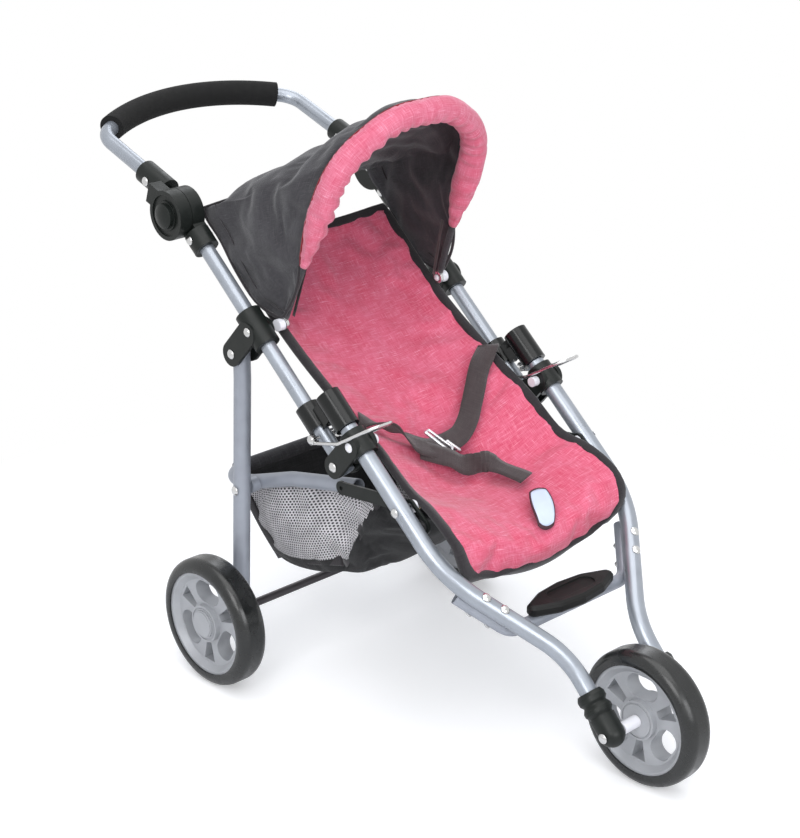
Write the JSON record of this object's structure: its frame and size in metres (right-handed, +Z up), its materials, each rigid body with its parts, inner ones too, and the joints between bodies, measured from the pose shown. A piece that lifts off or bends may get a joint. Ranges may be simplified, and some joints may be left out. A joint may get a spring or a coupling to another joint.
{
  "type": "doll stroller",
  "caption": "Folding three-wheeled doll stroller with a sling seat, harness, tilting canopy, tilting handle, footrest and a mesh basket.",
  "frame": {"origin": "on the floor under the middle of the box that holds the whole stroller", "axes": "+Z up, -Y forwards to the front wheel, +X to the left of a person pushing it"},
  "size_m": [0.3542, 0.6994, 0.5485],
  "materials": {
    "tube": "satin silver paint",
    "leg": "satin grey paint",
    "bracket": "satin moulded plastic",
    "slider": "glossy moulded plastic",
    "rivet": "nickel plated",
    "axle": "dark satin",
    "white": "white nylon",
    "brass": "plain",
    "rim": "matte moulded plastic",
    "tyre": "glossy solid tyre",
    "grip": "matte foam",
    "pink": "melange weave",
    "charcoal": "melange weave",
    "mesh": "knitted mesh",
    "webbing": "woven band"
  },
  "bodies": {
    "rear_frame": {"rear_leg_left": "leg", "rear_leg_right": "leg", "rear_axle": "axle", "leg_pins": "rivet", "basket_pins": "rivet", "basket_spacers": "leg"},
    "rear_wheel_left": {"rear_rim_left": "rim", "rear_tyre_left": "tyre", "hub_cap_left": "rim"},
    "rear_wheel_right": {"rear_rim_right": "rim", "rear_tyre_right": "tyre", "hub_cap_right": "rim"},
    "upper_frame": {"upper_tube_left": "tube", "upper_tube_right": "tube", "upper_bracket_left": "bracket", "upper_bracket_right": "bracket", "upper_rivets": "rivet", "canopy_studs": "white", "inner_joint_left": "bracket", "inner_joint_right": "bracket", "joint_bolts": "rivet", "bail_pins": "rivet", "seat_sling": "pink", "harness": "webbing"},
    "handle": {"outer_joint_left": "bracket", "outer_joint_right": "bracket", "handle_tube": "tube", "handle_grip": "grip", "handle_rivets": "rivet"},
    "button_left": {"joint_button_left": "bracket"},
    "button_right": {"joint_button_right": "bracket"},
    "slider_left": {"lock_slider_left": "slider"},
    "slider_right": {"lock_slider_right": "slider"},
    "bail_left": {"bail_left": "rivet"},
    "bail_right": {"bail_right": "rivet"},
    "front_frame": {"front_tube_left": "tube", "front_tube_right": "tube", "lower_bracket_left": "bracket", "lower_bracket_right": "bracket", "tube_noses": "slider", "fold_pins": "rivet", "lower_studs": "white", "front_bolts": "rivet", "bolt_spacers": "white", "bolt_nuts": "brass", "footrest_tube": "leg", "footrest_bolts": "rivet", "footrest_pad": "slider", "axle_socket_left": "bracket", "axle_socket_right": "bracket", "front_axle": "rivet", "hub_spacers": "white"},
    "front_wheel": {"front_rim": "rim", "front_tyre": "tyre"},
    "basket_frame": {"basket_tube": "leg", "basket_links": "bracket", "basket_bag": "mesh"},
    "canopy": {"canopy_hoop": "rivet", "canopy_roll": "pink", "canopy_hood": "charcoal"}
  },
  "joints": [
    {"name": "fold", "type": "hinge", "parent": "rear_frame", "child": "upper_frame", "pos_m": [0, 0.10534, 0.31771], "axis": [-1, 0, 0], "range_deg": [0, 60], "deforming": ["seat_sling", "harness"]},
    {"name": "front_fold", "type": "hinge", "parent": "upper_frame", "child": "front_frame", "pos_m": [0, -0.03125, 0.25015], "axis": [1, 0, 0], "range_deg": [0, 112]},
    {"name": "basket_fold", "type": "hinge", "parent": "rear_frame", "child": "basket_frame", "pos_m": [0, 0.10391, 0.18405], "axis": [-1, 0, 0], "range_deg": [0, 31.2], "deforming": ["basket_bag"]},
    {"name": "slider_left_travel", "type": "slide", "parent": "upper_frame", "child": "slider_left", "axis": [0, 0.7649, 0.6441], "range_m": [0, 0.0361]},
    {"name": "slider_right_travel", "type": "slide", "parent": "upper_frame", "child": "slider_right", "axis": [0, 0.7649, 0.6441], "range_m": [0, 0.0361]},
    {"name": "bail_left_swing", "type": "hinge", "parent": "upper_frame", "child": "bail_left", "pos_m": [0.1168, -0.00792, 0.2698], "axis": [1, 0, 0], "range_deg": [-95.2, 0]},
    {"name": "bail_right_swing", "type": "hinge", "parent": "upper_frame", "child": "bail_right", "pos_m": [-0.1168, -0.00792, 0.2698], "axis": [1, 0, 0], "range_deg": [-95.2, 0]},
    {"name": "handle_tilt", "type": "hinge", "parent": "upper_frame", "child": "handle", "pos_m": [0, 0.184, 0.43141], "axis": [1, 0, 0], "range_deg": [-40, 40]},
    {"name": "button_left_press", "type": "slide", "parent": "handle", "child": "button_left", "axis": [-1, 0, 0], "range_m": [0, 0.0035], "stiffness_N_per_m": 80, "springref_m": -0.002},
    {"name": "button_right_press", "type": "slide", "parent": "handle", "child": "button_right", "axis": [1, 0, 0], "range_m": [0, 0.0035], "stiffness_N_per_m": 80, "springref_m": -0.002},
    {"name": "canopy_fold", "type": "hinge", "parent": "upper_frame", "child": "canopy", "pos_m": [0, 0.07007, 0.34827], "axis": [-1, 0, 0], "range_deg": [0, 55], "deforming": ["canopy_hood"]},
    {"name": "front_wheel_spin", "type": "hinge", "parent": "front_frame", "child": "front_wheel", "pos_m": [0, -0.28745, 0.06225], "axis": [1, 0, 0], "continuous": true},
    {"name": "rear_wheel_left_spin", "type": "hinge", "parent": "rear_frame", "child": "rear_wheel_left", "pos_m": [0.1615, 0.10215, 0.06225], "axis": [1, 0, 0], "continuous": true},
    {"name": "rear_wheel_right_spin", "type": "hinge", "parent": "rear_frame", "child": "rear_wheel_right", "pos_m": [-0.1615, 0.10215, 0.06225], "axis": [1, 0, 0], "continuous": true}
  ],
  "couplings": [
    {"joint": "front_fold", "follows": "fold", "ratio": 1.8635},
    {"joint": "basket_fold", "follows": "fold", "ratio": 0.51647},
    {"joint": "slider_left_travel", "follows": "fold", "m_per_rad": 0.034377},
    {"joint": "slider_right_travel", "follows": "fold", "m_per_rad": 0.034377},
    {"joint": "bail_left_swing", "follows": "fold", "ratio": -1.5833},
    {"joint": "bail_right_swing", "follows": "fold", "ratio": -1.5833}
  ]
}
